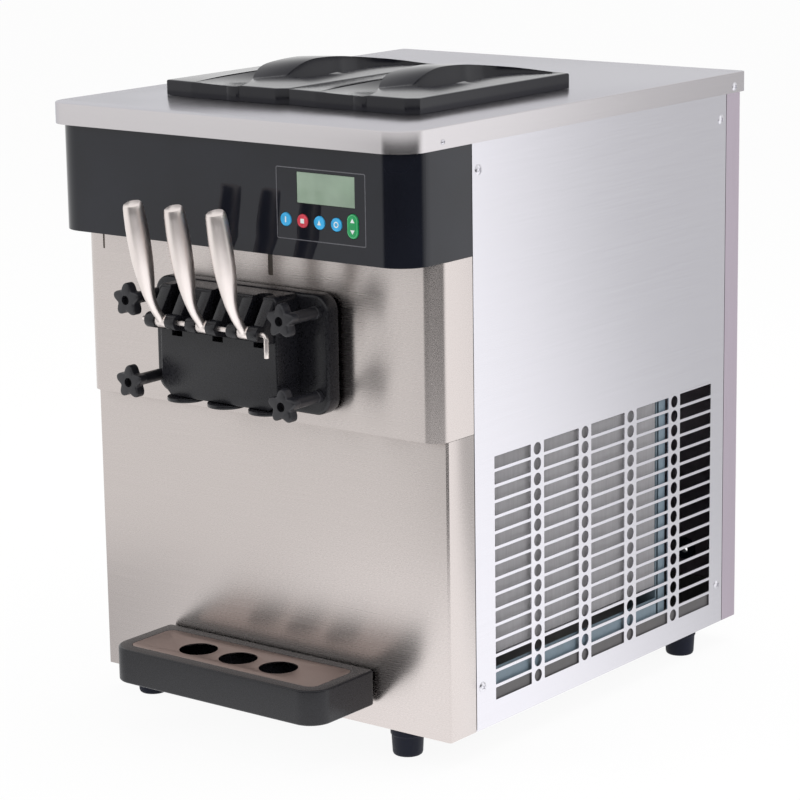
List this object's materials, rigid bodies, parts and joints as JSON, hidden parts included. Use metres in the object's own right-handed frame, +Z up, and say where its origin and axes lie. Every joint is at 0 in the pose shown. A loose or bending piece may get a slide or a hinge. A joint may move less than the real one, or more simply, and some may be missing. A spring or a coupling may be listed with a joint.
{
  "type": "soft_serve_machine",
  "caption": "Countertop soft serve machine: steel cabinet, black fascia with display and keys, lidded hoppers, draw handles on a dispensing head, drip tray, vented side panel.",
  "frame": {"origin": "On the floor plane under the feet, at the middle of the machine's outer box, from the draw handles' front to the back of the top cover.", "axes": "+X to the right as the user faces the front, +Y to the back, +Z up."},
  "size_m": [0.538, 0.7797, 0.7768],
  "materials": {
    "brushed_steel": "brushed",
    "satin_steel": "satin",
    "zinc_steel": "zinc plated",
    "aluminium": "plain",
    "cast_paint": "satin paint",
    "gloss_black": "gloss",
    "matte_black": "satin moulded",
    "rubber": "matt",
    "white_plastic": "satin",
    "display_green": "clear window",
    "key_blue": "satin",
    "key_red": "satin",
    "key_green": "satin",
    "board_green": "coated board"
  },
  "bodies": {
    "cabinet": {"foot_front_left": "rubber", "foot_front_right": "rubber", "foot_rear_left": "rubber", "foot_rear_right": "rubber", "base_pan": "zinc_steel", "inner_frame": "zinc_steel", "lower_front_panel": "brushed_steel", "mid_front_panel": "brushed_steel", "fascia": "gloss_black", "top_cover": "brushed_steel", "right_side_panel": "brushed_steel", "left_side_panel": "brushed_steel", "rear_panel": "brushed_steel", "cord_gland": "rubber", "hopper_left": "brushed_steel", "hopper_right": "brushed_steel", "feed_tube_left": "white_plastic", "feed_tube_right": "white_plastic", "freezing_cylinder_left": "satin_steel", "freezing_cylinder_right": "satin_steel", "cylinder_plate": "satin_steel", "head_gasket": "rubber", "dispensing_head": "matte_black", "star_nozzle_left": "matte_black", "star_nozzle_centre": "matte_black", "star_nozzle_right": "matte_black", "pivot_pin": "satin_steel", "lcd_window": "display_green", "control_board": "board_green", "tray_bracket": "zinc_steel", "condenser": "aluminium", "fan_shroud": "zinc_steel", "compressor": "cast_paint", "gearbox": "cast_paint", "drive_motor": "cast_paint", "drive_belt": "rubber"},
    "handle_left": {"draw_handle_left": "satin_steel"},
    "handle_centre": {"draw_handle_centre": "satin_steel"},
    "handle_right": {"draw_handle_right": "satin_steel"},
    "piston_left": {"draw_piston_left": "matte_black"},
    "piston_centre": {"draw_piston_centre": "matte_black"},
    "piston_right": {"draw_piston_right": "matte_black"},
    "screw_upper_left": {"hand_screw_upper_left": "matte_black"},
    "screw_upper_right": {"hand_screw_upper_right": "matte_black"},
    "screw_lower_left": {"hand_screw_lower_left": "matte_black"},
    "screw_lower_right": {"hand_screw_lower_right": "matte_black"},
    "lid_left": {"hopper_lid_left": "matte_black"},
    "lid_right": {"hopper_lid_right": "matte_black"},
    "tray": {"drip_tray": "matte_black"},
    "plate": {"cup_plate": "brushed_steel"},
    "key_1": {"round_key_1": "key_blue"},
    "key_2": {"round_key_2": "key_red"},
    "key_3": {"round_key_3": "key_blue"},
    "key_4": {"round_key_4": "key_blue"},
    "rocker": {"rocker_key": "key_green"},
    "fan_wheel": {"fan": "matte_black"},
    "motor_wheel": {"motor_pulley": "aluminium"},
    "gearbox_wheel": {"gearbox_pulley": "aluminium"},
    "beater_l": {"beater_left": "satin_steel"},
    "beater_r": {"beater_right": "satin_steel"}
  },
  "joints": [
    {"name": "draw_left", "type": "hinge", "parent": "cabinet", "child": "handle_left", "pos_m": [-0.0615, -0.3347, 0.5045], "axis": [1, 0, 0], "range_deg": [0, 50]},
    {"name": "draw_centre", "type": "hinge", "parent": "cabinet", "child": "handle_centre", "pos_m": [0, -0.3347, 0.5045], "axis": [1, 0, 0], "range_deg": [0, 50]},
    {"name": "draw_right", "type": "hinge", "parent": "cabinet", "child": "handle_right", "pos_m": [0.0615, -0.3347, 0.5045], "axis": [1, 0, 0], "range_deg": [0, 50]},
    {"name": "lift_left", "type": "slide", "parent": "cabinet", "child": "piston_left", "axis": [0, 0, 1], "range_m": [0, 0.02912]},
    {"name": "lift_centre", "type": "slide", "parent": "cabinet", "child": "piston_centre", "axis": [0, 0, 1], "range_m": [0, 0.02912]},
    {"name": "lift_right", "type": "slide", "parent": "cabinet", "child": "piston_right", "axis": [0, 0, 1], "range_m": [0, 0.02912]},
    {"name": "turn_upper_left", "type": "hinge", "parent": "cabinet", "child": "screw_upper_left", "pos_m": [-0.115, -0.2732, 0.5235], "axis": [0, 1, 0], "continuous": true},
    {"name": "turn_upper_right", "type": "hinge", "parent": "cabinet", "child": "screw_upper_right", "pos_m": [0.115, -0.2732, 0.5235], "axis": [0, 1, 0], "continuous": true},
    {"name": "turn_lower_left", "type": "hinge", "parent": "cabinet", "child": "screw_lower_left", "pos_m": [-0.115, -0.2732, 0.4268], "axis": [0, 1, 0], "continuous": true},
    {"name": "turn_lower_right", "type": "hinge", "parent": "cabinet", "child": "screw_lower_right", "pos_m": [0.115, -0.2732, 0.4268], "axis": [0, 1, 0], "continuous": true},
    {"name": "lift_lid_left", "type": "slide", "parent": "cabinet", "child": "lid_left", "axis": [0, 0, 1], "range_m": [0, 0.15]},
    {"name": "lift_lid_right", "type": "slide", "parent": "cabinet", "child": "lid_right", "axis": [0, 0, 1], "range_m": [0, 0.15]},
    {"name": "tray_out", "type": "slide", "parent": "cabinet", "child": "tray", "axis": [0, -1, 0], "range_m": [0, 0.12]},
    {"name": "plate_up", "type": "slide", "parent": "tray", "child": "plate", "axis": [0, 0, 1], "range_m": [0, 0.1]},
    {"name": "press_1", "type": "slide", "parent": "cabinet", "child": "key_1", "axis": [0, 1, 0], "range_m": [0, 0.001], "stiffness_N_per_m": 1500},
    {"name": "press_2", "type": "slide", "parent": "cabinet", "child": "key_2", "axis": [0, 1, 0], "range_m": [0, 0.001], "stiffness_N_per_m": 1500},
    {"name": "press_3", "type": "slide", "parent": "cabinet", "child": "key_3", "axis": [0, 1, 0], "range_m": [0, 0.001], "stiffness_N_per_m": 1500},
    {"name": "press_4", "type": "slide", "parent": "cabinet", "child": "key_4", "axis": [0, 1, 0], "range_m": [0, 0.001], "stiffness_N_per_m": 1500},
    {"name": "rock", "type": "hinge", "parent": "cabinet", "child": "rocker", "pos_m": [0.1874, -0.2962, 0.63], "axis": [1, 0, 0], "range_deg": [-4, 4], "stiffness_Nm_per_rad": 0.1},
    {"name": "fan_spin", "type": "hinge", "parent": "cabinet", "child": "fan_wheel", "pos_m": [0.2009, 0.0178, 0.24], "axis": [1, 0, 0], "continuous": true},
    {"name": "motor_spin", "type": "hinge", "parent": "cabinet", "child": "motor_wheel", "pos_m": [0, 0.0728, 0.1995], "axis": [0, 1, 0], "continuous": true},
    {"name": "gearbox_spin", "type": "hinge", "parent": "cabinet", "child": "gearbox_wheel", "pos_m": [0, 0.0728, 0.4735], "axis": [0, 1, 0], "continuous": true},
    {"name": "beater_left_spin", "type": "hinge", "parent": "cabinet", "child": "beater_l", "pos_m": [-0.062, -0.1, 0.4735], "axis": [0, 1, 0], "continuous": true},
    {"name": "beater_right_spin", "type": "hinge", "parent": "cabinet", "child": "beater_r", "pos_m": [0.062, -0.1, 0.4735], "axis": [0, 1, 0], "continuous": true}
  ],
  "couplings": [
    {"joint": "lift_left", "follows": "draw_left", "m_per_rad": 0.03337},
    {"joint": "lift_centre", "follows": "draw_centre", "m_per_rad": 0.03337},
    {"joint": "lift_right", "follows": "draw_right", "m_per_rad": 0.03337},
    {"joint": "gearbox_spin", "follows": "motor_spin", "ratio": 0.478},
    {"joint": "beater_left_spin", "follows": "motor_spin", "ratio": 0.0956},
    {"joint": "beater_right_spin", "follows": "motor_spin", "ratio": 0.0956}
  ]
}
